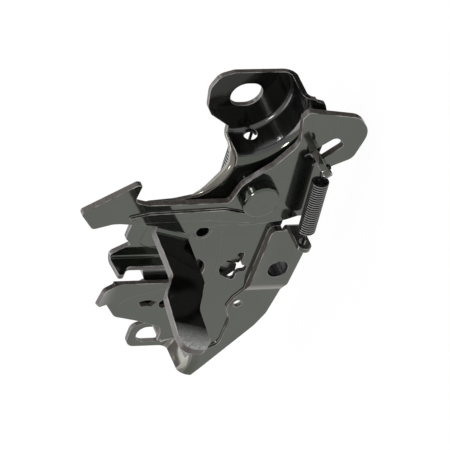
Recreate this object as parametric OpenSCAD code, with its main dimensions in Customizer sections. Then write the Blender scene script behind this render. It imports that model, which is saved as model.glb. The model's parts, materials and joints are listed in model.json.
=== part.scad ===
// Bonnet latch: a stamped base with two bolted ears, a claw and pawl behind its wall,
// and a sprung safety lever with a finger handle in front of it.
// Shapes are drawn flat, x to the right, y up and z forward, and stood upright at the end.
// The origin lies on the mounting plane, midway between the two ear holes.

/* [Base sheet] */
// Thickness of the base sheet
sheet_t = 2.3; // [1.9:0.1:2.7]
// Inside radius of the base's bends
bend_r = 2.5; // [2:0.1:3]
// Front face of the main wall, ahead of the mounting plane
wall_n = 20; // [19:0.5:22]
// Step forward from the main wall to the lower rail
rail_step = 1.2; // [0.9:0.1:1.5]
// Step forward from the rail to its round-hole pad
pad_step = 2.1; // [1.5:0.1:2.3]
// Diameter of the round hole in the pad
pad_hole_d = 9.4; // [7:0.2:11]
// Length of that hole, through the collar drawn behind the pad
collar_len = 7.8; // [6:0.2:9]

/* [Mounting ears] */
// Distance between the two ear holes
bolt_span = 144; // [138:1:150]
// Width of both ear holes
ear_slot_w = 9; // [8:0.5:10]
// Height of both ear holes
ear_slot_h = 14.5; // [12:0.5:15]
// Extra width of the locating hole in the right ear
ear_extra_w = 3.5; // [0:0.5:4]
// Radius of the right ear's flat floor
right_floor_r = 18.5; // [17:0.5:20]
// Radius of the left ear's flat floor
left_floor_r = 9; // [8.5:0.1:10]

/* [Striker slot] */
// Centre of the striker slot, sideways
slot_x = -15; // [-17:0.5:-13]
// Width of the striker slot
slot_w = 14.5; // [13:0.5:16]
// Height of the slot's round floor
slot_floor = -1; // [-3:0.5:1]
// Height that the slot's guide flange stands off the wall
guide_h = 6; // [5:0.5:7]

/* [Safety lever] */
// Thickness of the lever's sheet
lever_t = 3; // [2.5:0.1:3.5]
// Gap between the wall and the lever
lever_gap = 3.6; // [3:0.1:5]
// Sideways place of the lever's pivot
lever_x = 36; // [34:0.5:38]
// Height of the lever's pivot
lever_z = -8; // [-10:0.5:-6]
// Height of the hook's top above the lever's pivot
hook_top = 79.5; // [76:0.5:84]
// Height of the ribs pressed into the lever
rib_h = 1.2; // [0.6:0.1:1.6]
// Reach of the handle ahead of the lever
handle_reach = 74; // [66:1:80]
// Diameter of the lever rivet's shoulder
lever_pin_d = 11; // [10:0.5:12]
// Diameter of the lever rivet's head
lever_head_d = 17; // [15:0.5:18]
// Height of the lever rivet's head
lever_head_h = 5.3; // [3:0.1:6]

/* [Claw and pawl] */
// Thickness of the claw and the pawl
claw_t = 5; // [4:0.25:5.5]
// Sideways place of the claw's pivot
claw_x = -32; // [-33:0.25:-31]
// Height of the claw's pivot
claw_z = 1; // [0:0.25:2]
// Radius of the claw's jaw round the striker
jaw_r = 16; // [15:0.25:16.5]
// Diameter of the striker that the claw closes on
striker_d = 11; // [9:0.5:12]
// Diameter of the claw rivet's shoulder
claw_pin_d = 10; // [8:0.5:11]
// Sideways place of the pawl's pivot
pawl_x = 8.3; // [8:0.1:9.5]
// Height of the pawl's pivot
pawl_z = 7; // [6.5:0.1:8]
// Diameter of the pawl rivet's shoulder
pawl_pin_d = 8; // [7.5:0.5:9]
// Diameter of the pawl rivet's hollow
pawl_hollow_d = 5.6; // [4.5:0.1:6]

/* [Springs] */
// Wire of the lever's return spring
lever_wire_d = 1.1; // [0.9:0.05:1.2]
// Outside diameter of the lever's return spring
lever_coil_d = 8; // [7:0.25:8.5]
// Turns of the lever's return spring
lever_turns = 24; // [18:1:26]
// Wire of the claw's opening spring
claw_wire_d = 1.4; // [1.2:0.05:1.5]
// Outside diameter of the claw's opening spring
claw_coil_d = 9.4; // [8:0.2:10]
// Turns of the claw's opening spring
claw_turns = 13; // [10:1:14]
// Wire of the pawl's torsion spring
pawl_wire_d = 1.3; // [1.1:0.05:1.4]
// Turns of the pawl's torsion spring
pawl_turns = 3; // [2:1:3]

/* [Fits] */
// Play between a rivet's shoulder and its hole, on the radius
pin_play = 0.05; // [0.02:0.01:0.08]
// Play at each face of a moving plate
side_play = 0.15; // [0.1:0.01:0.25]
// Play between the pawl's end and the claw's tooth
tooth_play = 0.6; // [0.5:0.05:0.8]

/* [Hidden] */
$fn = 64;
paint = [0.12, 0.13, 0.12];
zinc = [0.55, 0.53, 0.48];
spring_steel = [0.3, 0.3, 0.3];

// Overlap where two stretches of one sheet are joined
weld = 0.05;
// Length that a cut runs past a face
past = 1;
// Steps along the arc of a rounded corner
corner_steps = 6;

// Levels ahead of the mounting plane
wall_rear = wall_n - sheet_t;
rail_n = wall_n + rail_step;
pad_n = rail_n + pad_step;
lever_rear = wall_n + lever_gap;
lever_n = lever_rear + lever_t;
washer_t = 1.2;
claw_front = wall_rear - washer_t - 2 * side_play;
claw_rear = claw_front - claw_t;
rivet_tail_t = 2.6;
rivet_tail_n = claw_rear - side_play - rivet_tail_t;

// Ears and the cupped walls that carry them
ear_x = bolt_span / 2;
cup_grow = 2 * bend_r + sheet_t;
right_cup_r = right_floor_r + cup_grow;
left_cup_r = left_floor_r + cup_grow;
right_edge = ear_x + 12.8;
left_edge = -ear_x - 7.3;
right_cup_from = 171;
right_cup_to = 330;
left_cup_from = 190;
left_cup_mid = 298;
left_cup_to = 384;

// Edges of the striker slot
slot_left = slot_x - slot_w / 2;
slot_right = slot_x + slot_w / 2;
arm_top = 48;

// Spring anchors
tab_x = 15;
tab_z = -33.5;
tab_w = 6.6;
tab_root = tab_x - sheet_t - bend_r;
tab_relief_z = tab_z + tab_w / 2 + 0.4;
rail_right = tab_root + 0.4;
pad_x = -12.7;
pad_z = -34.7;
collar_t = 1.5;
spring_n = lever_n + 8;
finger_x = lever_x + 24;
finger_z = lever_z - 22;
finger_turn = -45;
finger_w = 7.4;
finger_hole_d = 4;
tab_hole_d = 3.6;
cup_hole_turn = 199;
cup_hole_d = 6;
claw_hook_x = 4;
claw_hook_z = -9.5;
claw_spring_n = claw_rear - claw_coil_d / 2 - 0.5;
pawl_leg_x = pawl_x + 13;
pawl_leg_z = pawl_z - 3;

function unit(v) = v / norm(v);
function flat(p) = [p[0], p[1]];
function spin(v, a) = [v[0] * cos(a) - v[1] * sin(a), v[0] * sin(a) + v[1] * cos(a)];

// Points that round the corner b between a and c
function corner(a, b, c, r) =
    r == 0 ? [b] :
    let (u = unit(a - b), v = unit(c - b), half = acos(u * v) / 2)
    let (hub = b + unit(u + v) * r / sin(half), start = b + u * r / tan(half) - hub)
    let (side = cross(u, v) > 0 ? -1 : 1)
    [for (i = [0 : corner_steps]) hub + spin(start, side * (180 - 2 * half) * i / corner_steps)];

// Outline through corners given as [x, y, radius]
function rounded(pts) =
    let (n = len(pts))
    [for (i = [0 : n - 1])
        each corner(flat(pts[(i + n - 1) % n]), flat(pts[i]), flat(pts[(i + 1) % n]), pts[i][2])];

// Directions along a wire, and a side vector carried along it without twist
function tangent(p, i) = unit(p[min(i + 1, len(p) - 1)] - p[max(i - 1, 0)]);
function square_to(f, t) = unit(f - (f * t) * t);
wire_sides = 6;

module wire(path, d, first_side) {
    n = len(path);
    sides = [for (i = 0, f = square_to(first_side, tangent(path, 0)); i < n;
                  i = i + 1, f = i < n ? square_to(f, tangent(path, i)) : f) f];
    points = [for (i = [0 : n - 1])
        let (t = tangent(path, i), f = sides[i], g = cross(t, f))
        for (j = [0 : wire_sides - 1])
            let (a = 360 * j / wire_sides)
            path[i] + d / 2 * (cos(a) * f + sin(a) * g)];
    skin = [for (i = [0 : n - 2], j = [0 : wire_sides - 1])
        let (k = (j + 1) % wire_sides, a = i * wire_sides, b = a + wire_sides)
        each [[a + j, b + k, a + k], [a + j, b + j, b + k]]];
    first_cap = [for (j = [0 : wire_sides - 1]) j];
    last_cap = [for (j = [wire_sides - 1 : -1 : 0]) (n - 1) * wire_sides + j];
    polyhedron(points, concat(skin, [first_cap, last_cap]), convexity = 10);
}

// Path of a tension spring from one anchor to the other, hooked behind both,
// in its own axes: u along it, v across it and w forward
coil_steps = 14;
function hook(u, v, way, r, stub) =
    [for (a = [90 : -18 : 0]) [u + way * r * cos(a), v, r - r * sin(a)],
     [u + way * r, v, r + stub]];
function coil(u0, u1, turns, r, side_hook) =
    let (n = turns * coil_steps)
    [for (i = [0 : n])
        let (a = 360 * i / coil_steps, rise = side_hook ? 1 : 2 * i / coil_steps)
        let (ramp = min(1, rise, 2 * (n - i) / coil_steps))
        [u0 + (u1 - u0) * i / n, ramp * r * cos(a), ramp * r * sin(a)]];
function turned(path, u, angle) =
    [for (p = path) let (q = spin([p[0] - u, p[1]], angle)) [u + q[0], q[1], p[2]]];
function reversed(list) = [for (i = [len(list) - 1 : -1 : 0]) list[i]];
function placed(path, origin, u, v, w) = [for (p = path) origin + p[0] * u + p[1] * v + p[2] * w];

// Stands the flat drawing upright, so that forward becomes -Y
module upright() {
    rotate([90, 0, 0]) children();
}

module slab(n0, n1) {
    translate([0, 0, n0]) linear_extrude(n1 - n0) children();
}

module disc_at(x, y, d, n0, n1) {
    translate([x, y, n0]) cylinder(d = d, h = n1 - n0);
}

module long_hole(w, h) {
    reach = max(h - w, 0) / 2;
    for (s = [-1, 1]) translate([0, s * reach]) circle(d = w);
    square([w, 2 * reach + weld], center = true);
}

module quarter_ring(r, t) {
    intersection() {
        difference() {
            circle(r + t);
            circle(r);
        }
        square(r + t);
    }
}

// Bend along y of a sheet that comes from -x and turns forward, outer face at x = 0
module bend(t, r, y0, y1) {
    rotate([90, 0, 0]) translate([0, 0, -y1]) linear_extrude(y1 - y0)
        translate([-t - r, r]) rotate(-90) quarter_ring(r, t);
}

// Leaf of sheet standing forward, outer face at x = 0, outline given along y and forward
module leaf(t) {
    rotate([90, 0, 90]) translate([0, 0, -t]) linear_extrude(t) children();
}

// Base plate

// Section of an ear's round floor and its cupped wall, out to a sheet at front level n
module cup_section(floor_r, n) {
    square([floor_r, sheet_t]);
    translate([floor_r, sheet_t + bend_r]) rotate(-90) quarter_ring(bend_r, sheet_t);
    translate([floor_r + bend_r, sheet_t + bend_r]) square([sheet_t, n - 2 * (sheet_t + bend_r)]);
    translate([floor_r + cup_grow, n - sheet_t - bend_r]) rotate(90) quarter_ring(bend_r, sheet_t);
}

module cup(floor_r, n, from, to) {
    reach = 2 * (floor_r + cup_grow);
    corners = 4;
    intersection() {
        rotate_extrude() cup_section(floor_r, n);
        slab(-past, n + past) polygon(concat([[0, 0]], [for (i = [0 : corners])
            let (a = from + (to - from) * i / corners) reach * [cos(a), sin(a)]]));
    }
}

// Whole outline of the wall and the rail, with the ears' cups filled in
module base_outline() {
    polygon(rounded([
        [ear_x - 25, 3.5, 0], [ear_x - 32, 7, 10], [30, 14, 8], [27, 26, 20], [26, 37, 6],
        [24.5, 42, 3], [5.5, 42.5, 2], [2, 39, 1], [guide_root + 1.4, guide_to - 0.9, 1],
        [guide_root, guide_to, 0], [slot_left, guide_to, 0],
        [slot_left, 39, 0], [-34.5, 39.5, 3], [-42, 33.5, 5], [-45.5, 20, 20], [-50, 8, 4],
        [13 - ear_x, 8, 0], [-ear_x, 0, 0], [left_edge, 0, 0], [left_edge, -14.6, 0],
        [-ear_x - 3.3, -17.6, 3], [-49.4, -35.8, 10], [-41.9, -39.3, 8], [-25.9, -41.8, 3],
        [-21.5, -42.6, 3], [-0.5, -44.2, 6], [tab_x + 5, -37.2, 0], [40, -34, 10],
        [ear_x - 12, -34, 10], [ear_x + 6, -29.5, 2], [ear_x + 10.3, -27.3, 2],
        [right_edge, -19, 0], [right_edge, -6, 0], [ear_x, 0, 0]]));
}

// Region of the rail, its top and right step lines drawn in by drop
module rail_region(drop) {
    translate([0, -drop]) polygon(rounded([
        [rail_right - drop, -24.6, max(3 - drop, 0)], [-27, -24.3, 4], [-32.5, -20.2, 3], [-37.5, -18.6, 3],
        [-42.3, -20.6, 2], [-44.5, -22.4, 3], [-60, -22.3, 4],
        [9 - ear_x, -17, 0], [-ear_x, 0, 0], [-ear_x - 30, 0, 0], [-ear_x - 30, -70, 0],
        [rail_right - drop, -70, 0]]));
}

// Section of the rail along x, from a level below it up to its front face
module rail_section(thick, floor_n) {
    pad_left = -27.2;
    pad_right = -22.3;
    top = [[pad_right, pad_n], [ear_x, pad_n]];
    low = [[-ear_x - 30, rail_n], [pad_left, rail_n]];
    under = floor_n > 0 ? [[ear_x, floor_n], [-ear_x - 30, floor_n]]
          : [for (p = reversed(concat(low, top))) p - [0, thick]];
    polygon(concat(low, top, under));
}

module rail_slab(thick, floor_n) {
    rail_top = 10;
    rail_bottom = -60;
    rotate([90, 0, 0]) translate([0, 0, -rail_top])
        linear_extrude(rail_top - rail_bottom) rail_section(thick, floor_n);
}

module wall_sheet() {
    slab(wall_rear, wall_n) difference() {
        base_outline();
        rail_region(sheet_t);
    }
    intersection() {
        slab(0, 2 * wall_n) intersection() {
            base_outline();
            rail_region(0);
        }
        rail_slab(sheet_t, 0);
    }
    intersection() {
        slab(0, 2 * wall_n) intersection() {
            base_outline();
            difference() {
                rail_region(0);
                rail_region(sheet_t);
            }
        }
        rail_slab(0, wall_rear);
    }
}

guide_from = 8;
guide_to = arm_top - 1.2;
guide_bend_r = 1.5;
guide_root = slot_right + sheet_t + guide_bend_r;

module slot_cut() {
    slot_r = slot_w / 2;
    translate([slot_x, slot_floor + slot_r]) circle(r = slot_r);
    translate([slot_left, slot_floor + slot_r]) square([slot_w, arm_top]);
    translate([slot_right - weld, guide_from])
        square([guide_root - slot_right + weld, guide_to - guide_from + past]);
}

// Three-lobed window that shows the pawl's end on the claw's tooth
module window_cut() {
    window_x = slot_x + 0.8;
    window_z = slot_floor - 12.6;
    translate([window_x, window_z]) {
        circle(r = 5.3);
        polygon(rounded([[-7.6, -3.6, 1], [-5.4, 1.8, 1], [2, 1.8, 0], [2, -3.6, 0]]));
        polygon(rounded([[-2.2, -7.6, 1], [0.9, -7.6, 1], [2.2, 0, 0], [-3.1, 0, 0]]));
        polygon(rounded([[9, -4.2, 1.1], [9, -1.5, 1.1], [0, 1.8, 0], [0, -3.6, 0]]));
    }
}

module wall_holes() {
    slot_cut();
    window_cut();
    translate([pad_x, pad_z]) circle(d = pad_hole_d);
    translate([-35.4, -23.4]) circle(d = 4);
    translate([-35, 11.7]) circle(d = 5);
    translate([-39.5, 20]) intersection() {
        difference() {
            circle(r = 7);
            circle(r = 3.6);
        }
        polygon([[0, 0], [12, 9], [12, -9]]);
    }
    translate([tab_root, -60]) square([tab_x + 1.2 - tab_root, 60 + tab_relief_z]);
    translate([pawl_leg_x, pawl_leg_z]) circle(d = pawl_wire_d + 0.8);
}

module right_ear() {
    out = right_edge - ear_x;
    difference() {
        intersection() {
            union() {
                slab(0, sheet_t) polygon(rounded([
                    [-right_floor_r, 2.5, 0], [-11.5, 13, 2], [-7, 16, 6], [3.5, 18.2, 8],
                    [10.5, 15.5, 5], [out, 9, 6], [out, -8, 0], [0, -8, 0]]));
                cup(right_floor_r, wall_n, right_cup_from, right_cup_to);
            }
            slab(-past, wall_n + past) translate([-60, -60]) square([60 + out, 120]);
        }
        slab(-past, sheet_t + past) long_hole(ear_slot_w + ear_extra_w, ear_slot_h);
        rotate([0, 0, cup_hole_turn]) translate([right_floor_r - past, 0, claw_spring_n])
            rotate([0, 90, 0]) cylinder(d = cup_hole_d, h = cup_grow + 2 * past);
    }
}

module left_ear() {
    out = left_edge + ear_x;
    difference() {
        intersection() {
            union() {
                slab(0, sheet_t) polygon(rounded([
                    [out, -6, 0], [out, 11, 4.5], [5, 11, 4], [left_floor_r - 1, 3, 0],
                    [left_floor_r - 1, -2, 0]]));
                cup(left_floor_r, rail_n, left_cup_from, left_cup_mid);
                cup(left_floor_r, wall_n, left_cup_mid, left_cup_to);
            }
            slab(-past, rail_n + past) translate([out, -60]) square([120, 120]);
        }
        slab(-past, sheet_t + past) long_hole(ear_slot_w, ear_slot_h);
    }
}

// Guide flange along the slot's right side, with a tip flared forward at its top
module slot_guide() {
    translate([slot_right, 0, wall_n]) rotate([0, 0, 180]) mirror([0, 1, 0]) {
        bend(sheet_t, guide_bend_r, guide_from, guide_to);
        leaf(sheet_t) polygon(rounded([
            [guide_from, guide_bend_r, 0], [guide_to, guide_bend_r, 0],
            [guide_to - 0.8, guide_h + 5.3, 1.2], [guide_to - 3.2, guide_h + 4.6, 1],
            [guide_to - 6.5, guide_h, 3], [guide_from, guide_h, 2]]));
    }
}

// Lead-in tab leaning forward from the top of the slot's left side
module lead_tab() {
    tab_lean = 24;
    tab_len = 11;
    translate([0, 37, wall_rear]) rotate([tab_lean, 0, 0]) linear_extrude(sheet_t)
        polygon(rounded([[-33, 0, 0], [slot_left, 0, 0], [slot_left - 0.5, tab_len - 2, 2],
                         [-32, tab_len, 2]]));
}

module spring_tab() {
    translate([tab_x, tab_z, pad_n]) {
        bend(sheet_t, bend_r, -tab_w / 2, tab_w / 2);
        difference() {
            leaf(sheet_t) polygon(rounded([
                [-tab_w / 2, bend_r, 0], [tab_w / 2, bend_r, 0],
                [tab_w / 2, spring_n - pad_n + 4.6, 3.2], [-tab_w / 2, spring_n - pad_n + 4.6, 3.2]]));
            translate([-sheet_t - past, 0, spring_n - pad_n]) rotate([0, 90, 0])
                cylinder(d = tab_hole_d, h = sheet_t + 2 * past);
        }
    }
}

module base_plate() {
    color(paint) upright() {
        difference() {
            union() {
                wall_sheet();
                disc_at(pad_x, pad_z, pad_hole_d + 2 * collar_t, pad_n - collar_len, pad_n - sheet_t / 2);
            }
            slab(-past, 2 * wall_n) wall_holes();
            slab(-past, pad_n - sheet_t) translate([rail_right - sheet_t, -60])
                square([tab_x - rail_right, 60 + tab_relief_z]);
            translate([ear_x, 0, -past]) cylinder(r = right_cup_r - weld, h = 2 * wall_n);
            translate([-ear_x, 0, -past]) cylinder(r = left_cup_r - weld, h = 2 * wall_n);
            disc_at(lever_x, lever_z, lever_pin_d - 2 + 2 * pin_play, 0, wall_n + past);
            disc_at(claw_x, claw_z, claw_pin_d - 2 + 2 * pin_play, 0, wall_n + past);
            disc_at(pawl_x, pawl_z, pawl_pin_d + 2 * pin_play, 0, wall_n + past);
        }
        translate([ear_x, 0, 0]) right_ear();
        translate([-ear_x, 0, 0]) left_ear();
        slot_guide();
        lead_tab();
        spring_tab();
    }
}

// Safety lever

lever_bend_r = 2;
handle_turn = 162.7;
handle_root = [-19.2, 42.6];
handle_w = 18;
handle_out = [cos(handle_turn), sin(handle_turn)];
handle_along = spin(handle_out, 90);
bend_relief = 0.8;
bend_start = handle_root - lever_bend_r * handle_out - bend_relief * handle_along;
bend_end = bend_start + (handle_w + 2 * bend_relief) * handle_along;

module lever_outline() {
    polygon(rounded([
        [-9.5, hook_top, 2], [-18, hook_top - 7.3, 2.5], [-15.3, hook_top - 16, 6], [-15.2, 60, 10],
        [-16.8, 46, 4], [bend_start[0], bend_start[1], 0], [bend_end[0], bend_end[1], 0],
        [-18.8, 21.5, 2], [-18.8, 15.7, 4], [-17.5, 12, 6], [-18, -2, 20], [-15.5, -18, 10],
        [-12.5, -25, 5], [-4, -27, 8], [11, -28, 8],
        [15.5, -29, 4], [20.5, -38.4, 5], [36, -41.6, 10], [44, -34.5, 10], [47.7, -9.2, 2],
        [44, -7, 2], [29, -10.5, 8], [17, -2.5, 12], [6, 9, 8], [-4.3, 12, 2], [-4.7, 50, 8],
        [-2.6, 57, 3], [6.9, 56.2, 0.5], [7.5, 58.3, 1.5], [-7.8, hook_top, 1]]));
}

// Rib pressed along the lever's arm, narrowed by inset all round
module arm_rib(inset) {
    polygon(rounded([
        [-11.9 + inset, 60 - inset, 1], [-14 + inset, 50, 4], [-13.4 + inset, 20, 4],
        [-15.5 + inset, -1 + inset, 1], [-11.5 - inset, -4 + inset, 1],
        [-7.5 - inset, 13, 6], [-8.9 - inset, 48.4, 8]]));
}

module handle() {
    slope_from = 0.37 * handle_reach;
    slope_to = 0.59 * handle_reach;
    lift = 12;
    translate(handle_root) rotate([0, 0, handle_turn]) translate([lever_t, 0, 0]) {
        bend(lever_t, lever_bend_r, 0, handle_w);
        leaf(lever_t) polygon(rounded([
            [0, lever_bend_r, 0], [handle_w, lever_bend_r, 0],
            [handle_w - 2, slope_from, 8], [handle_w - lift - 1, slope_to + 3, 10],
            [handle_w - lift - 3.2, handle_reach - 8, 4], [handle_w - lift - 9, handle_reach - 1.5, 5],
            [-lift - 2, handle_reach, 4], [-lift - 3, handle_reach - 8, 4], [-lift + 1, slope_to - 2, 10],
            [-1.5, slope_from, 8]]));
    }
}

finger_reach = 12.6;
finger_slot_len = 10;

finger_lap = 2;

// Side view of the finger: a lap inside the tail's sheet, the bend, and the upright leg
module finger_section() {
    translate([-lever_t - lever_bend_r, lever_bend_r]) rotate(-90) quarter_ring(lever_bend_r, lever_t);
    translate([-lever_t - lever_bend_r - finger_lap, -lever_t]) square([finger_lap, lever_t]);
    translate([-lever_t, lever_bend_r]) square([lever_t, finger_reach - lever_bend_r + past]);
}

module spring_finger() {
    long = lever_t + lever_bend_r + finger_lap + past;
    translate([finger_x - lever_x, finger_z - lever_z, 0]) rotate([0, 0, finger_turn]) difference() {
        intersection() {
            rotate([90, 0, 0]) translate([0, 0, -finger_w / 2 - past])
                linear_extrude(finger_w + 2 * past) finger_section();
            translate([past, 0, 0]) leaf(long + past) polygon(rounded([
                [-finger_w / 2, -lever_t - past, 0], [finger_w / 2, -lever_t - past, 0],
                [finger_w / 2, finger_reach, 3.4], [-finger_w / 2, finger_reach, 3.4]]));
        }
        translate([-lever_t - past, 0, spring_n - lever_n]) rotate([0, 90, 0])
            cylinder(d = finger_hole_d, h = lever_t + 2 * past);
    }
}

// Opening in the tail that the spring finger was bent out of
module finger_slot() {
    root = -lever_t - lever_bend_r - finger_lap / 2;
    side = finger_w / 2 + 0.4;
    polygon(rounded([[root, -side, 0], [finger_slot_len, -side, 2], [finger_slot_len, side - 1, 3],
                     [root, side, 0]]));
}

module safety_lever() {
    color(paint) upright() translate([lever_x, lever_z, lever_n]) {
        difference() {
            union() {
                slab(-lever_t, 0) lever_outline();
                slab(-lever_t / 2, rib_h) arm_rib(0);
            }
            slab(-lever_t - past, rib_h - lever_t) arm_rib(lever_t / 3);
            disc_at(0, 0, lever_pin_d + 2 * pin_play, -lever_t - past, past);
            translate([finger_x - lever_x, finger_z - lever_z, 0]) rotate([0, 0, finger_turn])
                slab(-lever_t - past, past) finger_slot();
        }
        handle();
        spring_finger();
    }
}

// Rivets, spacers and washers

module lever_rivet() {
    tail_t = 2.4;
    head_edge = 0.8;
    head_n = lever_n + side_play;
    shank_d = lever_pin_d - 2;
    color(zinc) upright() translate([lever_x, lever_z, 0]) rotate_extrude() polygon([
        [0, wall_rear - tail_t], [shank_d / 2 + 2.2, wall_rear - tail_t], [shank_d / 2 + 3, wall_rear],
        [shank_d / 2, wall_rear], [shank_d / 2, wall_n], [lever_pin_d / 2, wall_n],
        [lever_pin_d / 2, head_n], [lever_head_d / 2, head_n],
        [lever_head_d / 2, head_n + lever_head_h - head_edge],
        [lever_head_d / 2 - head_edge, head_n + lever_head_h], [0, head_n + lever_head_h]]);
}

module ring(x, y, d_in, d_out, n0, n1) {
    translate([x, y, n0]) rotate_extrude() translate([d_in / 2, 0])
        square([(d_out - d_in) / 2, n1 - n0]);
}

module lever_spacer() {
    color(zinc) upright()
        ring(lever_x, lever_z, lever_pin_d + 2 * pin_play, lever_pin_d + 5, wall_n, lever_rear - side_play);
}

module claw_rivet() {
    front_head_h = 2;
    shank_d = claw_pin_d - 2;
    tail_d = claw_pin_d + 5;
    color(zinc) upright() translate([claw_x, claw_z, 0]) rotate_extrude() polygon([
        [0, rivet_tail_n], [tail_d / 2 - 0.6, rivet_tail_n], [tail_d / 2, rivet_tail_n + 0.6],
        [tail_d / 2, rivet_tail_n + rivet_tail_t], [claw_pin_d / 2, rivet_tail_n + rivet_tail_t],
        [claw_pin_d / 2, wall_rear], [shank_d / 2, wall_rear], [shank_d / 2, wall_n],
        [shank_d / 2 + 2.5, wall_n], [shank_d / 2 + 1.5, wall_n + front_head_h],
        [0, wall_n + front_head_h]]);
}

module claw_washer() {
    color(zinc) upright()
        ring(claw_x, claw_z, claw_pin_d + 2 * pin_play, claw_pin_d + 7, wall_rear - washer_t, wall_rear);
}

// Hollow rivet, flush with the wall's front face
module pawl_rivet() {
    tail_d = pawl_pin_d + 5;
    color(zinc) upright() translate([pawl_x, pawl_z, 0]) rotate_extrude() polygon([
        [pawl_hollow_d / 2, pawl_tail_n], [tail_d / 2, pawl_tail_n],
        [tail_d / 2, pawl_tail_n + 1.6], [pawl_pin_d / 2, pawl_tail_n + 1.6],
        [pawl_pin_d / 2, wall_n], [pawl_hollow_d / 2, wall_n]]);
}

module pawl_washer() {
    color(zinc) upright()
        ring(pawl_x, pawl_z, pawl_pin_d + 2 * pin_play, pawl_pin_d + 6, wall_rear - washer_t, wall_rear);
}

// Claw and pawl

seat_x = slot_x - claw_x;
seat_z = 10 - claw_z;
claw_hub_d = claw_pin_d + 10;
jaw_end = seat_x + 8;
tooth_low = [16.2, -19.5];
tooth_high = [18.6, -11.5];

module claw_shape() {
    difference() {
        union() {
            circle(d = claw_hub_d);
            polygon(rounded([[0, -5, 0], [8, 14, 0], [3, 22, 4], [-5, 24, 4], [-12, 20, 4], [-13, 7, 3]]));
            intersection() {
                translate([seat_x, seat_z]) circle(r = jaw_r);
                translate([-20, -60]) square([20 + jaw_end, 120]);
            }
            polygon(rounded([[-8, -2, 0], [-1, -13, 3], [6, -14, 8], [12.5, -20, 2],
                             [tooth_low[0], tooth_low[1], 0.8], [tooth_high[0], tooth_high[1], 1.5],
                             [15, -4, 0], [4, 4, 0]]));
        }
        translate([seat_x, seat_z]) rotate(-10) {
            circle(d = striker_d + 1);
            translate([0, -striker_d / 2 - 0.5]) square([40, striker_d + 1]);
        }
    }
}

module claw() {
    color(paint) upright() translate([claw_x, claw_z, 0]) difference() {
        slab(claw_rear, claw_front) claw_shape();
        disc_at(0, 0, claw_pin_d + 2 * pin_play, claw_rear - past, claw_front + past);
        disc_at(claw_hook_x, claw_hook_z, claw_wire_d + 0.6, claw_rear - past, claw_front + past);
    }
}

pawl_hub_d = pawl_pin_d + 6.5;
pawl_tail_n = claw_rear - side_play - (pawl_turns + 1) * pawl_wire_d - 2.2;

// The pawl's end lies along the claw's tooth, set off by the play
module pawl_shape() {
    along = unit(tooth_high - tooth_low);
    off = [claw_x - pawl_x, claw_z - pawl_z] + tooth_play * [along[1], -along[0]];
    low = tooth_low + off - 0.6 * along;
    high = tooth_high + off - 1.2 * along;
    circle(d = pawl_hub_d);
    polygon(rounded([[low[0], low[1], 0.8], [low[0] + 4.5, low[1] - 1.5, 1.5], [6, -4, 0], [-1, 6.5, 0],
                     [-6, 0, 0], [high[0] + 1.6, high[1] + 1.4, 2], [high[0], high[1], 0.8]]));
    polygon(rounded([[-6, 3, 0], [5, -4, 0], [13.5, 6.5, 3], [9, 13, 3]]));
}

module pawl() {
    color(paint) upright() translate([pawl_x, pawl_z, 0]) difference() {
        slab(claw_rear, claw_front) pawl_shape();
        disc_at(0, 0, pawl_pin_d + 2 * pin_play, claw_rear - past, claw_front + past);
        disc_at(9.5, 8.2, 3.6, claw_rear - past, claw_front + past);
    }
}

// Springs

module tension_spring(from, to, wire_d, coil_d, turns, u0, u1, hook_from, hook_to, side_hook,
                      last_stub, last_turn) {
    u = unit(to - from);
    w = square_to([0, 0, 1], u);
    v = cross(w, u);
    span = norm(to - from);
    stub = 1.6;
    turn_r = wire_d + 0.5;
    coil_r = (coil_d - wire_d) / 2;
    first_v = side_hook ? coil_r : 0;
    last_hook = concat([[span - abs(hook_to) - 2, 0, 0]],
                       hook(span + hook_to, 0, 1, turn_r, max(stub, last_stub - turn_r)));
    path = concat(reversed(hook(-hook_from, first_v, -1, turn_r, stub)), [[u0 - 1, first_v, 0]],
                  coil(u0, u1, turns, coil_r, side_hook), [[u1 + 1, 0, 0]],
                  turned(last_hook, span, last_turn));
    wire(placed(path, from, u, v, w), wire_d, v);
}

module lever_spring() {
    body = lever_turns * lever_wire_d * 1.17;
    from = [tab_x - sheet_t / 2, tab_z, spring_n];
    to = [finger_x - lever_t / 2 * cos(finger_turn), finger_z - lever_t / 2 * sin(finger_turn), spring_n];
    middle = norm(to - from) / 2;
    color(spring_steel) upright()
        tension_spring(from, to, lever_wire_d, lever_coil_d, lever_turns, middle - body / 2,
                       middle + body / 2, sheet_t / 2 - 0.75, lever_t / 2 - 0.5, false, 0,
                       0.6 * finger_turn);
}

module claw_spring() {
    body = claw_turns * claw_wire_d * 1.15;
    wall_mid_r = right_floor_r + bend_r + sheet_t / 2;
    coil_r = (claw_coil_d - claw_wire_d) / 2;
    from = [ear_x + wall_mid_r * cos(cup_hole_turn), wall_mid_r * sin(cup_hole_turn) + coil_r,
            claw_spring_n];
    to = [claw_x + claw_hook_x, claw_z + claw_hook_z, claw_spring_n];
    color(spring_steel) upright()
        tension_spring(from, to, claw_wire_d, claw_coil_d, claw_turns, 7, 7 + body,
                       sheet_t / 2 + 1, -claw_wire_d - 0.5, true, claw_front - 1 - claw_spring_n, 0);
}

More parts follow.
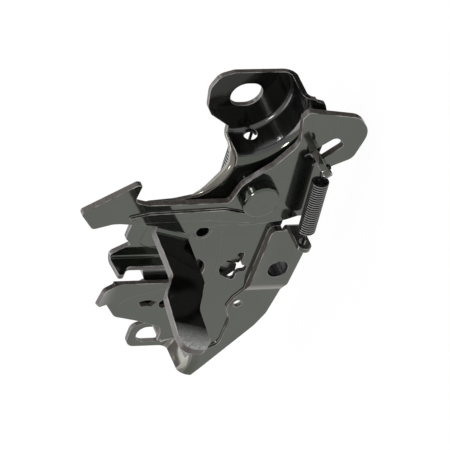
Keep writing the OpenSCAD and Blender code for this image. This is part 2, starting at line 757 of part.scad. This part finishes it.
module pawl_spring() {
    r = pawl_pin_d / 2 + pawl_wire_d / 2 + 0.4;
    near_n = claw_rear - side_play - pawl_wire_d / 2 - 0.2;
    far_n = near_n - pawl_turns * pawl_wire_d * 1.05;
    steps = 20;
    n = pawl_turns * steps + steps / 4;
    start = [pawl_leg_x - pawl_x, pawl_leg_z - pawl_z];
    path = concat(
        [[start[0], start[1], wall_n - 0.4], [start[0], start[1], near_n + 2], [start[0], start[1], near_n],
         [start[0] - 2, start[1] - 1.6, near_n]],
        [for (i = [0 : n]) let (a = -90 - 360 * i / steps)
            [r * cos(a), r * sin(a), near_n + (far_n - near_n) * i / n]],
        [[-r, -6, far_n], [-r, -10, far_n]]);
    color(spring_steel) upright() translate([pawl_x, pawl_z, 0]) wire(path, pawl_wire_d, [0, 1, 0]);
}

base_plate();
safety_lever();
lever_rivet();
lever_spacer();
lever_spring();
claw();
claw_rivet();
claw_washer();
claw_spring();
pawl();
pawl_rivet();
pawl_washer();
pawl_spring();
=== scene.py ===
import json
import math

import bpy
from mathutils import Matrix, Vector
from mathutils.bvhtree import BVHTree

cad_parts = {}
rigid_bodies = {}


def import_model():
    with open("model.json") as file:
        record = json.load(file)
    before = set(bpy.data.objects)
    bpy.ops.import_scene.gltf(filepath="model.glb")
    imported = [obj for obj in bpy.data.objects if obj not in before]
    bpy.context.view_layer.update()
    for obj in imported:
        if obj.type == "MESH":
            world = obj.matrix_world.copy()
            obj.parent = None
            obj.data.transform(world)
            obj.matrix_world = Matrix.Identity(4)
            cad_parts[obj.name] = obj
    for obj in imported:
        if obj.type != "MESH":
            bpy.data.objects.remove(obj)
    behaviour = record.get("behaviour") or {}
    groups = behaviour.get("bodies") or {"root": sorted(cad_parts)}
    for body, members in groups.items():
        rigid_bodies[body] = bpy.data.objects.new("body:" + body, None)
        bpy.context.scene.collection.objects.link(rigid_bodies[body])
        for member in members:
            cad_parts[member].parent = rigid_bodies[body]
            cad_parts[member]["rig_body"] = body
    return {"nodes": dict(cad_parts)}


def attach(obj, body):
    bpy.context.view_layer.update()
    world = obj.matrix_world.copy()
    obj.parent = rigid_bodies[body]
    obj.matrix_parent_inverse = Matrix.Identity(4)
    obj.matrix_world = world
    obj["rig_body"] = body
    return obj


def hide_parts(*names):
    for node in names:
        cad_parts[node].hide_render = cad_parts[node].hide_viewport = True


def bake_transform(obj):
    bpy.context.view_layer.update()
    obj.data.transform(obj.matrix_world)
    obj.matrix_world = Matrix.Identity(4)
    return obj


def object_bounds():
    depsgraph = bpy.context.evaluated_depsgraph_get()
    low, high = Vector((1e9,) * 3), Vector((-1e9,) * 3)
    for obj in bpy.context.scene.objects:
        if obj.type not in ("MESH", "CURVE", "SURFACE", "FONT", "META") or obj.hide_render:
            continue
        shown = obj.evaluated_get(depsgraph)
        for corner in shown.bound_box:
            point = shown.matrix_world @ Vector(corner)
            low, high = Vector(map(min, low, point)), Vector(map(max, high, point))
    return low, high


# Bonnet latch: a gloss-black pressed base with a claw and a pawl behind it,
# and a sprung safety lever in front.

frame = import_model()
cad_low, cad_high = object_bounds()
scene = bpy.context.scene
body_of = {node: piece["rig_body"] for node, piece in frame["nodes"].items()}

MM = 0.001

# The view: a long lens that looks along the photograph's own direction
VIEW_FROM = Vector((0.635, -0.636, 0.439))
VIEW_UP = Vector((0.717, 0.697, -0.027))
VIEW_AIM = Vector((22.8, -30.8, 4.95)) * MM
VIEW_DISTANCE = 2.5
VIEW_WIDTH = 191.5 * MM
VIEW_REACH = 20

# Edges: how far they are rounded, and which of them are
PRESSED_EDGE = 0.22 * MM
TURNED_EDGE = 0.3 * MM
EDGE_STEPS = 2
MERGE = 0.002 * MM
FLAT_WITHIN = math.radians(0.3)
SHARP_OVER = math.radians(32)
SMOOTH_UNDER = math.radians(31)

# Sheets, and what tells a sheared rim from a face
BASE_SHEET = 2.3 * MM
LEVER_SHEET = 3.0 * MM
THICKER_THAN_SHEET = 1.3
RIM_PROBE = 0.15 * MM
SIDEWAYS = 0.5
ACROSS = [Vector(way).normalized()
          for way in ((1, 0, 0), (0, 1, 0), (0, 0, 1), (1, 0, 1), (1, 0, -1))]

# Paints, by their place in a piece's list: every sheet, then the base plate, then the lever
FACE, RIM = 0, 1
BORE, CUP, SHADED_EAR, BROWN_SHEEN = 2, 3, 4, 5
HANDLE = 2
SAME_PAINT = -1

# Places on the base plate and the lever, in millimetres
WALL_FACE = -20.0
COLLAR_X, COLLAR_Z, COLLAR_REACH = -12.7, -34.7, 4.8
# The left cup's wall takes the painted brown highlight
LEFT_CUP = {"ear_x": -72.0, "rim": -19.9, "wall": BROWN_SHEEN, "floor": FACE}
# The right cup's floor takes painted shade, though it is the same dip paint as the left ear
RIGHT_CUP = {"ear_x": 72.0, "rim": -17.5, "wall": CUP, "floor": SHADED_EAR}
CUP_REACH = 27.0
CUP_FLOOR_FACING = 0.9
STEPS_LOW = (-60.0, -23.28, -46.0)
STEPS_HIGH = (9.5, -20.02, 12.0)
STEP_FACING = 0.97
HANDLE_FROM = -31.0
HANDLE_OUT = Vector((0.95, 0, -0.3)).normalized()
HANDLE_FACING = 0.9
HANDLE_LIGHTER_FROM, HANDLE_LIGHTER_TO = -84.0, -99.0

# Beads on the base plate: points in millimetres, the roll's with a radius each
CREASE_R = 0.6
CREASE_HEIGHT = 0.1
NECK_ROLL = (
    (51.0, -3.0, 3.4, 0.3), (50.2, -8.0, 3.2, 1.0), (49.5, -13.5, 3.3, 1.6),
    (47.5, -17.6, 4.2, 2.0), (43.5, -18.6, 5.6, 2.2), (39.0, -18.8, 8.2, 2.2),
    (35.5, -18.8, 10.4, 2.0), (32.2, -18.8, 12.8, 1.6), (30.2, -18.8, 15.2, 1.2),
    (28.9, -18.8, 18.5, 0.5))
LEFT_ARM_CREASE = ((-24.9, 14.0), (-28.0, 22.0), (-29.6, 28.5), (-31.4, 32.4),
                   (-34.3, 34.0), (-36.4, 33.5), (-38.4, 31.5))
RIGHT_ARM_CREASE = ((11.7, 34.3), (5.7, 35.7), (2.8, 35.2), (0.3, 32.5), (-1.3, 23.0))
SLOT_CREASE = ((14.0, -0.6), (2.3, -3.2), (-7.4, -5.9), (-18.0, -7.0), (-23.0, -5.3),
               (-26.0, -1.5))
BEAD_ROUNDNESS = 5
BEAD_ORDER = 4
BEAD_STEPS = 8

# Springs: each coil's axis as two points on it, in millimetres
LEVER_COIL = ((13.9, -34.6, -33.5), (58.9, -34.6, -28.9))
CLAW_COIL = ((51.1, -6.0, -3.2), (-28.0, -6.0, -8.5))
PAWL_COIL = ((8.3, 0.0, 7.0), (8.3, -20.0, 7.0))
LEVER_WIRE = 1.1 * MM
CLAW_WIRE = 1.4 * MM
PAWL_WIRE = 1.3 * MM
ROUNDING_LOSS = 0.075
ROUNDING_LEVELS = 2
COIL_REACH = 2.5 * MM

# Colours, each from its dark tone to its light one, and ranges of roughness
DIP_BLACK = ((0.004, 0.005, 0.004), (0.008, 0.009, 0.007))
WORKS_BLACK = ((0.003, 0.003, 0.003), (0.006, 0.006, 0.006))
# Painted shade: the right ear's floor and the rivets' and washers' sides, blacker and duller than
# the same dip paint elsewhere
EAR_SHADE_BLACK = ((0.002, 0.002, 0.002), (0.005, 0.005, 0.005))
# Painted shade: the right cup's wall, blacker than the dip paint
CUP_SHADE_BLACK = ((0.002, 0.002, 0.002), (0.006, 0.006, 0.006))
# Painted shade: the collar's bore, dark and dull
BORE_SHADE_BLACK = ((0.002, 0.002, 0.002), (0.008, 0.008, 0.008))
# Painted highlight: a brownish sheen on the neck roll, the left cup's wall and the steps of the
# rail and pad
BROWN_SHEEN_TONES = ((0.055, 0.045, 0.041), (0.1, 0.085, 0.078))
RIM_BROWN = ((0.035, 0.029, 0.026), (0.07, 0.06, 0.055))
# Painted highlight: a pale line along the sheets' rounded edges
EDGE_HIGHLIGHT_TONES = ((0.015, 0.014, 0.013), (0.32, 0.3, 0.285))
HANDLE_END_TONES = ((0.002, 0.002, 0.002), (0.44, 0.45, 0.425))
# Painted highlight: bright glint lines along the spring coils' crests
WIRE_GLINT_TONES = ((0.004, 0.004, 0.004), (0.3, 0.3, 0.29))
SMOKY_TINT = (0.94, 1.0, 0.82, 1)
GLOSS = (0.07, 0.12)
SATIN = (0.15, 0.25)
PAINT_DEPTH = 0.1 * MM
RING_DEPTH = 0.3 * MM

# Stage: floor, surroundings and the card that darkens one side of the reflections
WHITE = (1, 1, 1, 1)
FLOOR_SIZE = 6.0
FLOOR_WHITE = (0.92, 0.92, 0.92, 1)
FLOOR_ROUGHNESS = 0.9
FLOOR_GLOW = 0.96
SURROUNDING_LIGHT = 0.5
CARD_BLACK = (0.01, 0.01, 0.01, 1)
CARD_LOW, CARD_HIGH = (-0.02, -0.022), (0.9, 0.9)
CARD_FADE = 0.06
CARD_LIFT = 2 * MM


# Selecting and shaping

def select_only(piece):
    bpy.ops.object.select_all(action="DESELECT")
    piece.select_set(True)
    bpy.context.view_layer.objects.active = piece


def edit_all(piece):
    """Opens a piece for editing with all of it selected."""
    select_only(piece)
    bpy.ops.object.mode_set(mode="EDIT")
    bpy.ops.mesh.select_all(action="SELECT")


def end_edit():
    bpy.ops.object.mode_set(mode="OBJECT")


def apply_modifier(piece, kind, **settings):
    select_only(piece)
    modifier = piece.modifiers.new(kind.lower(), kind)
    for name, value in settings.items():
        setattr(modifier, name, value)
    bpy.ops.object.modifier_apply(modifier=modifier.name)


def surface_of(mesh):
    return BVHTree.FromPolygons([v.co for v in mesh.vertices],
                                [p.vertices for p in mesh.polygons])


def merged_copy(node, name, *paints):
    """A copy of a CAD solid with its loose triangles merged."""
    piece = bpy.data.objects.new(name, frame["nodes"][node].data.copy())
    scene.collection.objects.link(piece)
    edit_all(piece)
    bpy.ops.mesh.customdata_custom_splitnormals_clear()
    bpy.ops.mesh.remove_doubles(threshold=MERGE)
    end_edit()
    piece.data.materials.clear()
    for paint in paints:
        piece.data.materials.append(paint)
    return piece


def ease_edges(piece, width, marks=(), edge_slot=SAME_PAINT):
    """Makes the flat faces whole, marks their paints, and rounds the sharp edges."""
    solid = surface_of(piece.data)
    edit_all(piece)
    bpy.ops.mesh.dissolve_limited(angle_limit=FLAT_WITHIN, delimit={"MATERIAL"})
    end_edit()
    for mark in marks:
        mark(piece)
    apply_modifier(piece, "BEVEL", width=width, segments=EDGE_STEPS, limit_method="ANGLE",
                   angle_limit=SHARP_OVER, use_clamp_overlap=False, material=edge_slot)
    # A bevel throws a point far out where short edges meet; such a point goes back to the solid
    for point in piece.data.vertices:
        place, _, _, away = solid.find_nearest(point.co)
        if away > width:
            point.co = place
    edit_all(piece)
    bpy.ops.mesh.dissolve_degenerate(threshold=MERGE)
    end_edit()
    bpy.ops.object.shade_smooth_by_angle(angle=SMOOTH_UNDER)
    apply_modifier(piece, "WEIGHTED_NORMAL", keep_sharp=True)


def thickness(solid, inside, way):
    """Metal on both sides of a point, along one direction."""
    both = [solid.ray_cast(inside, turn)[3] for turn in (way, -way)]
    return math.inf if None in both else sum(both)


def mark_cut_faces(piece, sheet):
    """Marks the sheared rim: faces with deep metal behind them and one sheet across."""
    solid = surface_of(piece.data)
    limit = sheet * THICKER_THAN_SHEET
    for face in piece.data.polygons:
        start = face.center - face.normal * MERGE
        depth = solid.ray_cast(start, -face.normal)[3]
        if depth is not None and depth <= limit:
            continue
        inside = face.center - face.normal * RIM_PROBE
        across = [way for way in ACROSS if abs(way.dot(face.normal)) < SIDEWAYS]
        if min(thickness(solid, inside, way) for way in across) <= limit:
            face.material_index = RIM


def stands_for(piece, node, body):
    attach(piece, body)
    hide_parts(node)


# Materials

def new_material(name):
    material = bpy.data.materials.new(name)
    material.use_nodes = True
    tree = material.node_tree
    shader = tree.nodes["Principled BSDF"]
    place = tree.nodes.new("ShaderNodeTexCoord")
    return material, tree, shader, place


def noise_on(tree, place, scale, detail, stretch=(1, 1, 1)):
    """Noise in object space, scale in cells per metre, stretched by a factor along each axis."""
    mapping = tree.nodes.new("ShaderNodeMapping")
    mapping.inputs["Scale"].default_value = stretch
    tree.links.new(place.outputs["Object"], mapping.inputs["Vector"])
    noise = tree.nodes.new("ShaderNodeTexNoise")
    noise.inputs["Scale"].default_value = scale
    noise.inputs["Detail"].default_value = detail
    tree.links.new(mapping.outputs["Vector"], noise.inputs["Vector"])
    return noise.outputs["Fac"]


def along(tree, place, space, axis):
    """A surface's place along one axis, in one of its own spaces."""
    split = tree.nodes.new("ShaderNodeSeparateXYZ")
    tree.links.new(place.outputs[space], split.inputs["Vector"])
    return split.outputs[axis]


def maths(tree, operation, first, second):
    node = tree.nodes.new("ShaderNodeMath")
    node.operation = operation
    tree.links.new(first, node.inputs[0])
    tree.links.new(second, node.inputs[1])
    return node.outputs["Value"]


def between(tree, factor, low, high, start=0.3, end=0.7):
    """A value that goes from low to high as a factor goes from start to end."""
    spread = tree.nodes.new("ShaderNodeMapRange")
    spread.inputs["From Min"].default_value = start
    spread.inputs["From Max"].default_value = end
    spread.inputs["To Min"].default_value = low
    spread.inputs["To Max"].default_value = high
    tree.links.new(factor, spread.inputs["Value"])
    return spread.outputs["Result"]


def colour_from(tree, shader, factor, shades, start=0.35, end=0.65):
    """Takes the colour from the dark shade to the light one as a factor goes from start to end."""
    ramp = tree.nodes.new("ShaderNodeValToRGB")
    for stop, position, shade in zip(ramp.color_ramp.elements, (start, end), shades):
        stop.position = position
        stop.color = (*shade, 1)
    tree.links.new(factor, ramp.inputs["Fac"])
    tree.links.new(ramp.outputs["Color"], shader.inputs["Base Color"])


def roughness_from(tree, shader, factor, rough, *span):
    tree.links.new(between(tree, factor, *rough, *span), shader.inputs["Roughness"])


def bump_from(tree, shader, height, strength, depth=PAINT_DEPTH):
    bump = tree.nodes.new("ShaderNodeBump")
    bump.inputs["Strength"].default_value = strength
    bump.inputs["Distance"].default_value = depth
    tree.links.new(height, bump.inputs["Height"])
    tree.links.new(bump.outputs["Normal"], shader.inputs["Normal"])


def dip_paint(name, shades, rough, peel, shine=0.85, coat=0.5):
    """Gloss-black dip paint with a faint orange peel under its clear surface."""
    material, tree, shader, place = new_material(name)
    colour_from(tree, shader, noise_on(tree, place, scale=60, detail=3), shades)
    roughness_from(tree, shader, noise_on(tree, place, scale=140, detail=4), rough)
    bump_from(tree, shader, noise_on(tree, place, scale=420, detail=2), strength=peel)
    shader.inputs["Specular IOR Level"].default_value = shine
    shader.inputs["Specular Tint"].default_value = SMOKY_TINT
    shader.inputs["Coat Weight"].default_value = coat
    shader.inputs["Coat Roughness"].default_value = 0.03
    return material


def cut_edge_paint(name):
    """Thin paint over a sheared rim: paler and duller than the faces, scored across the sheet."""
    material, tree, shader, place = new_material(name)
    score = noise_on(tree, place, scale=1500, detail=2, stretch=(1, 0.1, 1))
    colour_from(tree, shader, score, RIM_BROWN)
    roughness_from(tree, shader, score, (0.28, 0.38))
    bump_from(tree, shader, score, strength=0.08)
    return material


def edge_highlight_paint(name):
    """A painted highlight along the sheets' rounded edges, paler in patches."""
    material, tree, shader, place = new_material(name)
    highlight_patches = noise_on(tree, place, scale=160, detail=3)
    colour_from(tree, shader, highlight_patches, EDGE_HIGHLIGHT_TONES)
    roughness_from(tree, shader, highlight_patches, (0.1, 0.3))
    shader.inputs["Specular IOR Level"].default_value = 0.85
    return material


def drawn_cup_paint(name):
    """Paint over a cup's drawn wall: blacker, as painted shade, and streaked by fine marks along
    the press stroke.
    """
    material, tree, shader, place = new_material(name)
    streaks = noise_on(tree, place, scale=1400, detail=3, stretch=(1, 0.02, 1))
    colour_from(tree, shader, streaks, CUP_SHADE_BLACK)
    roughness_from(tree, shader, streaks, (0.1, 0.2))
    bump_from(tree, shader, streaks, strength=0.3)
    shader.inputs["Specular IOR Level"].default_value = 0.9
    return material


def shaded_bore(name):
    """Painted shade in the collar's bore: black and dull, ringed by the punch that drew it."""
    material, tree, shader, place = new_material(name)
    rings = noise_on(tree, place, scale=900, detail=1, stretch=(0.02, 1, 0.02))
    colour_from(tree, shader, rings, BORE_SHADE_BLACK)
    roughness_from(tree, shader, rings, (0.25, 0.4))
    bump_from(tree, shader, rings, strength=0.5, depth=RING_DEPTH)
    shader.inputs["Specular IOR Level"].default_value = 0.15
    return material


def spring_wire(name):
    """Dark drawn wire with an oiled shine, and a painted highlight: bright metal along the crests
    of its coils, where glints fall.
    """
    material, tree, shader, place = new_material(name)
    crest = tree.nodes.new("ShaderNodeAttribute")
    crest.attribute_name = "crest"
    crest_glint = between(tree, crest.outputs["Fac"], 0, 1, start=0.9, end=0.99)
    colour_from(tree, shader, crest_glint, WIRE_GLINT_TONES, start=0, end=1)
    tree.links.new(crest_glint, shader.inputs["Metallic"])
    roughness_from(tree, shader, noise_on(tree, place, scale=700, detail=2), (0.1, 0.25))
    shader.inputs["Specular IOR Level"].default_value = 0.3
    return material


def handle_end_paint(name):
    """Black paint that goes lighter, duller and grainier towards the handle's end."""
    material, tree, shader, place = new_material(name)
    toward_end = between(tree, along(tree, place, "Object", "Y"), 0, 1,
                     start=HANDLE_LIGHTER_FROM * MM, end=HANDLE_LIGHTER_TO * MM)
    grain = between(tree, noise_on(tree, place, scale=1600, detail=3), 0.35, 1)
    lightness = maths(tree, "MULTIPLY", toward_end, grain)
    colour_from(tree, shader, lightness, HANDLE_END_TONES, start=0, end=1)
    roughness_from(tree, shader, lightness, (0.1, 0.35), 0, 1)
    shader.inputs["Specular IOR Level"].default_value = 0.25
    return material


base_paint = dip_paint("base_dip_paint", DIP_BLACK, GLOSS, peel=0.08)
lever_paint = dip_paint("lever_dip_paint", DIP_BLACK, GLOSS, peel=0.08)
works_paint = dip_paint("claw_and_pawl_paint", WORKS_BLACK, SATIN, peel=0.06)
rivet_paint = dip_paint("rivet_paint", DIP_BLACK, GLOSS, peel=0.04)
# Painted shade: a blacker, duller copy of the dip paint
shaded_ear_paint = dip_paint("shaded_ear_paint", EAR_SHADE_BLACK, GLOSS, peel=0.04, shine=0.3, coat=0.0)
# Painted highlight: a brown satin sheen
brown_sheen_paint = dip_paint("brown_sheen_paint", BROWN_SHEEN_TONES, SATIN, peel=0.04)
rim_paint = cut_edge_paint("sheared_rim_paint")
# Painted highlight along the sheets' edges
edge_paint = edge_highlight_paint("edge_highlight_paint")
cup_paint = drawn_cup_paint("drawn_cup_paint")
bore_paint = shaded_bore("shaded_bore")
handle_paint = handle_end_paint("handle_end_paint")
# The spring wire's paint carries painted glints along the coils' crests
wire_finish = spring_wire("spring_wire")


# Pressed sheets: base plate and safety lever

def mark_bore(piece):
    """Marks the collar's bore for its painted shade."""
    for face in piece.data.polygons:
        out = math.hypot(face.center.x / MM - COLLAR_X, face.center.z / MM - COLLAR_Z)
        if out < COLLAR_REACH and abs(face.normal.y) < SIDEWAYS:
            face.material_index = BORE


def mark_cups(piece):
    """Marks each cup's wall and floor: painted shade on the right cup's wall and floor, a painted
    brown highlight on the left cup's wall.
    """
    for face in piece.data.polygons:
        for cup in (LEFT_CUP, RIGHT_CUP):
            out = math.hypot(face.center.x / MM - cup["ear_x"], face.center.z / MM)
            in_cup = out <= CUP_REACH and face.center.y / MM >= cup["rim"]
            if face.material_index == FACE and in_cup:
                wall = abs(face.normal.y) < CUP_FLOOR_FACING
                face.material_index = cup["wall"] if wall else cup["floor"]


def mark_steps(piece):
    """Marks the steps of the rail and the pad for the brown paint, a painted highlight as on the
    neck.
    """
    for face in piece.data.polygons:
        stepped = all(low < place / MM < high
                      for low, place, high in zip(STEPS_LOW, face.center, STEPS_HIGH))
        if face.material_index == FACE and stepped and abs(face.normal.y) < STEP_FACING:
            face.material_index = BROWN_SHEEN


def mark_handle(piece):
    """Marks the handle's outer face."""
    for face in piece.data.polygons:
        facing_out = face.normal.dot(HANDLE_OUT) > HANDLE_FACING
        if face.center.y / MM < HANDLE_FROM and facing_out:
            face.material_index = HANDLE


def pressed_sheet(node, body, sheet, paints, marks):
    """A sheet in its paints, with the painted edge highlight last, on its edges."""
    piece = merged_copy(node, "painted_" + node, *paints, edge_paint)
    mark_cut_faces(piece, sheet)
    ease_edges(piece, PRESSED_EDGE, marks, edge_slot=len(paints))
    stands_for(piece, node, body)


def bead(name, paint, points):
    """A round bead of the base's sheet through points that each have their own radius."""
    path = bpy.data.curves.new(name, "CURVE")
    path.dimensions = "3D"
    path.bevel_depth = MM
    path.bevel_resolution = BEAD_ROUNDNESS
    path.use_fill_caps = True
    line = path.splines.new("NURBS")
    line.points.add(len(points) - 1)
    for knot, (x, y, z, radius) in zip(line.points, points):
        knot.co = (x * MM, y * MM, z * MM, 1)
        knot.radius = radius
    line.use_endpoint_u = True
    line.order_u = BEAD_ORDER
    line.resolution_u = BEAD_STEPS
    piece = bpy.data.objects.new(name, path)
    scene.collection.objects.link(piece)
    select_only(piece)
    bpy.ops.object.convert(target="MESH")
    piece = bpy.context.object
    bpy.ops.object.shade_smooth()
    piece.data.materials.append(paint)
    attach(piece, "base")


def press_line(name, points):
    """A faint crease that the press left along the edge of a shallow panel of the wall."""
    depth = WALL_FACE + CREASE_R - CREASE_HEIGHT
    bead(name, base_paint, [(x, depth, z, CREASE_R) for x, z in points])


pressed_sheet("base_plate", "base", BASE_SHEET,
              (base_paint, rim_paint, bore_paint, cup_paint, shaded_ear_paint, brown_sheen_paint),
              (mark_bore, mark_cups, mark_steps))
pressed_sheet("safety_lever", "lever", LEVER_SHEET,
              (lever_paint, rim_paint, handle_paint),
              (mark_handle,))
bead("neck_roll", brown_sheen_paint, NECK_ROLL)
press_line("left_arm_crease", LEFT_ARM_CREASE)
press_line("right_arm_crease", RIGHT_ARM_CREASE)
press_line("slot_crease", SLOT_CREASE)


# Claw, pawl, rivets and washers

def turned_or_blanked(node, *paints):
    """A piece in one paint, or with a second one on the faces round its edge; on the rivets and
    washers that second paint is painted shade.
    """
    piece = merged_copy(node, "painted_" + node, *paints)
    for face in piece.data.polygons:
        face.material_index = int(len(paints) > 1 and abs(face.normal.y) < SIDEWAYS)
    ease_edges(piece, TURNED_EDGE)
    stands_for(piece, node, body_of[node])


for blank in ("claw", "pawl"):
    turned_or_blanked(blank, works_paint)
for turned in ("lever_rivet", "lever_spacer", "claw_rivet", "claw_washer",
               "pawl_rivet", "pawl_washer"):
    turned_or_blanked(turned, rivet_paint, shaded_ear_paint)


# Springs

def mark_crests(piece, coil):
    """Keeps how squarely each point of the wire faces away from the coil's axis, which places the
    painted glints.
    """
    start, axis = Vector(coil[0]) * MM, (Vector(coil[1]) - Vector(coil[0])).normalized()
    crest = piece.data.attributes.new("crest", "FLOAT", "POINT")
    for point, kept in zip(piece.data.vertices, crest.data):
        arm = point.co - start
        arm -= axis * arm.dot(axis)
        facing_out = max(0.0, point.normal.dot(arm.normalized()))
        kept.value = facing_out if arm.length > COIL_REACH else 0.0


def round_wire(node, wire, coil):
    """A spring with its six-sided wire made round, at the wire's own thickness."""
    piece = merged_copy(node, "wound_" + node, wire_finish)
    edit_all(piece)
    bpy.ops.mesh.tris_convert_to_quads(face_threshold=math.pi, shape_threshold=math.pi)
    end_edit()
    apply_modifier(piece, "SUBSURF", levels=ROUNDING_LEVELS, render_levels=ROUNDING_LEVELS)
    edit_all(piece)
    bpy.ops.transform.shrink_fatten(value=ROUNDING_LOSS * wire)
    end_edit()
    bpy.ops.object.shade_smooth()
    mark_crests(piece, coil)
    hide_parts(node)
    return piece


def stretches(spring):
    """Bakes the spring's placement into its mesh."""
    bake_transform(spring)


lever_spring = round_wire("lever_spring", LEVER_WIRE, LEVER_COIL)
claw_spring = round_wire("claw_spring", CLAW_WIRE, CLAW_COIL)
pawl_spring = round_wire("pawl_spring", PAWL_WIRE, PAWL_COIL)
stretches(lever_spring)
stretches(claw_spring)
stretches(pawl_spring)


# Floor, light and camera

def lit_for_the_eye(tree):
    """1 for rays from the camera and for reflected and refracted ones, and 0 for the rest."""
    path = tree.nodes.new("ShaderNodeLightPath")
    seen = path.outputs["Is Camera Ray"]
    for kind in ("Is Glossy Ray", "Is Transmission Ray"):
        seen = maths(tree, "MAXIMUM", seen, path.outputs[kind])
    return seen


def show_mix(tree, output, factor, first, second):
    """Shows one shader where a factor is 0, and another where it is 1."""
    blend = tree.nodes.new("ShaderNodeMixShader")
    tree.links.new(factor, blend.inputs["Fac"])
    tree.links.new(first, blend.inputs[1])
    tree.links.new(second, blend.inputs[2])
    tree.links.new(blend.outputs["Shader"], tree.nodes[output].inputs["Surface"])


def stage_plane(name, material, size, place):
    bpy.ops.object.select_all(action="DESELECT")
    bpy.ops.mesh.primitive_plane_add(size=1, location=place)
    plane = bpy.context.object
    plane.name = name
    plane.scale = (*size, 1)
    plane.data.materials.append(material)
    return plane


def white_floor():
    material, tree, shader, _ = new_material("white_floor")
    shader.inputs["Base Color"].default_value = FLOOR_WHITE
    shader.inputs["Roughness"].default_value = FLOOR_ROUGHNESS
    glow = tree.nodes.new("ShaderNodeEmission")
    share = between(tree, lit_for_the_eye(tree), 0, FLOOR_GLOW, start=0, end=1)
    show_mix(tree, "Material Output", share, shader.outputs["BSDF"], glow.outputs["Emission"])
    stage_plane("floor", material, (FLOOR_SIZE, FLOOR_SIZE), (0, 0, cad_low.z))


def white_surroundings():
    world = bpy.data.worlds.new("white_surroundings")
    scene.world = world
    world.use_nodes = True
    tree = world.node_tree
    light = tree.nodes["Background"]
    light.inputs["Color"].default_value = WHITE
    light.inputs["Strength"].default_value = SURROUNDING_LIGHT
    sight = tree.nodes.new("ShaderNodeBackground")
    sight.inputs["Color"].default_value = WHITE
    show_mix(tree, "World Output", lit_for_the_eye(tree),
             light.outputs["Background"], sight.outputs["Background"])


def soft_box(name, place, size, power):
    lamp = bpy.data.lights.new(name, "AREA")
    lamp.size = size
    lamp.energy = power
    box = bpy.data.objects.new(name, lamp)
    box.location = place
    box.rotation_euler = (VIEW_AIM - Vector(place)).to_track_quat("-Z", "Y").to_euler()
    scene.collection.objects.link(box)


def dark_card():
    """A dark card lying to one side, seen only in reflections, with a soft near edge."""
    material, tree, shader, place = new_material("dark_card")
    shader.inputs["Base Color"].default_value = CARD_BLACK
    shader.inputs["Roughness"].default_value = 1.0
    clear = tree.nodes.new("ShaderNodeBsdfTransparent")
    width, depth = (high - low for low, high in zip(CARD_LOW, CARD_HIGH))
    soft = between(tree, along(tree, place, "Generated", "X"), 0, 1,
                   start=0, end=CARD_FADE / width)
    show_mix(tree, "Material Output", soft, clear.outputs["BSDF"], shader.outputs["BSDF"])
    middle = [(low + high) / 2 for low, high in zip(CARD_LOW, CARD_HIGH)]
    card = stage_plane("side_card", material, (width, depth), (*middle, cad_low.z + CARD_LIFT))
    card.visible_camera = False
    card.visible_diffuse = False
    card.visible_shadow = False


def long_lens_camera():
    lens = bpy.data.cameras.new("camera")
    lens.lens = lens.sensor_width * VIEW_DISTANCE / VIEW_WIDTH
    lens.clip_end = VIEW_REACH
    camera = bpy.data.objects.new("camera", lens)
    back = VIEW_FROM.normalized()
    right = VIEW_UP.cross(back).normalized()
    up = back.cross(right)
    turn = Matrix((right, up, back)).transposed()
    camera.matrix_world = Matrix.Translation(VIEW_AIM + back * VIEW_DISTANCE) @ turn.to_4x4()
    scene.collection.objects.link(camera)
    scene.camera = camera


white_floor()
white_surroundings()
soft_box("overhead_box", place=(-0.3, 0.3, 0.9), size=1.2, power=10)
soft_box("rear_lamp", place=(0.45, 0.62, 0.62), size=0.12, power=1)
soft_box("front_lamp", place=(0.4, -0.9, 0.75), size=0.2, power=5)
dark_card()
long_lens_camera()
scene.view_settings.view_transform = "Standard"

bpy.context.view_layer.update()
